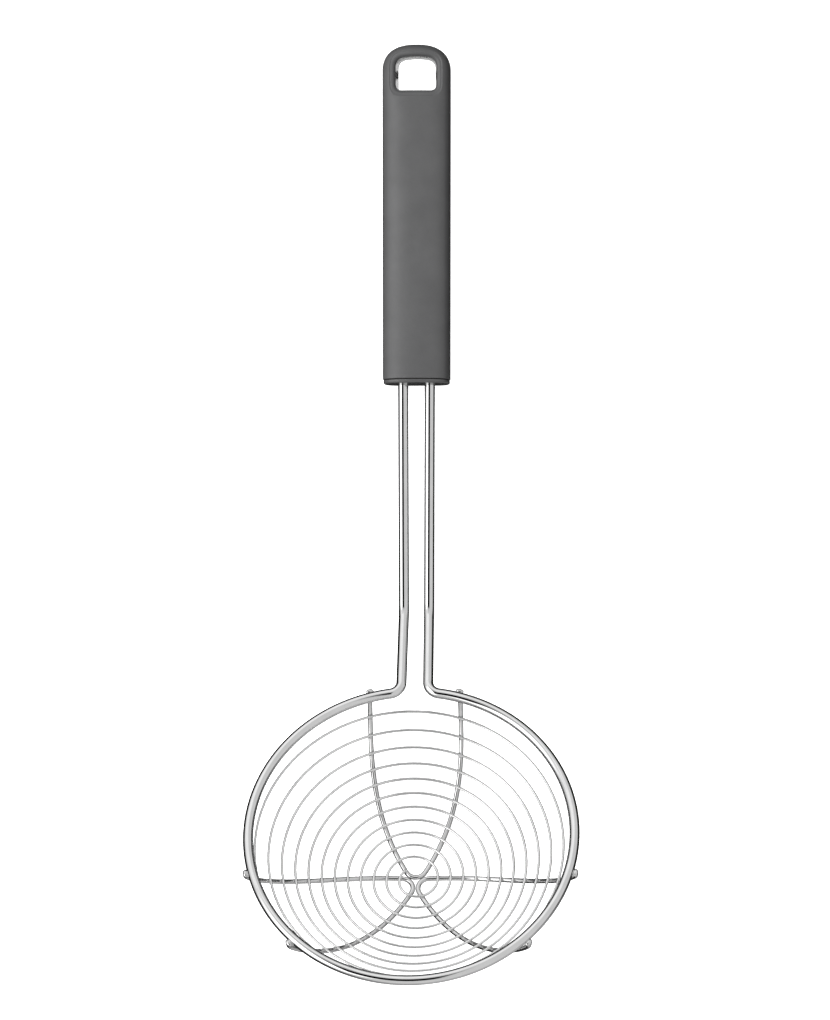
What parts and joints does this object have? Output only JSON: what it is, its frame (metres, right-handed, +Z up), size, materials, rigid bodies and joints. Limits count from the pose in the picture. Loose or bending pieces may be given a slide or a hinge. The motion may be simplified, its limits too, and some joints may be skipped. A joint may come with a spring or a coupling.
{
  "type": "wire skimmer",
  "caption": "Kitchen skimmer with a wound wire bowl on hairpin ribs, a bent wire rim and neck, and a moulded dark grey handle with a lined hang hole.",
  "frame": {"origin": "on the table, under the middle of the bounding box of the skimmer lying on its bowl and its handle's back", "axes": "+Z up from the table, +Y along the handle towards its hang hole, +X to the right seen from above"},
  "size_m": [0.13, 0.3728, 0.0686],
  "materials": {
    "frame_steel": "polished stainless steel wire",
    "support_steel": "polished stainless steel wire",
    "spiral_steel": "bright drawn stainless steel wire",
    "grip_plastic": "satin moulded plastic",
    "cap_plastic": "satin moulded plastic",
    "liner_steel": "polished metal sleeve"
  },
  "bodies": {
    "root": {"frame_wire": "frame_steel", "support_wire_handle_side": "support_steel", "support_wire_left": "support_steel", "support_wire_right": "support_steel", "spiral_wire": "spiral_steel", "handle_grip": "grip_plastic", "handle_end_cap": "cap_plastic", "hang_hole_liner": "liner_steel"}
  },
  "joints": []
}
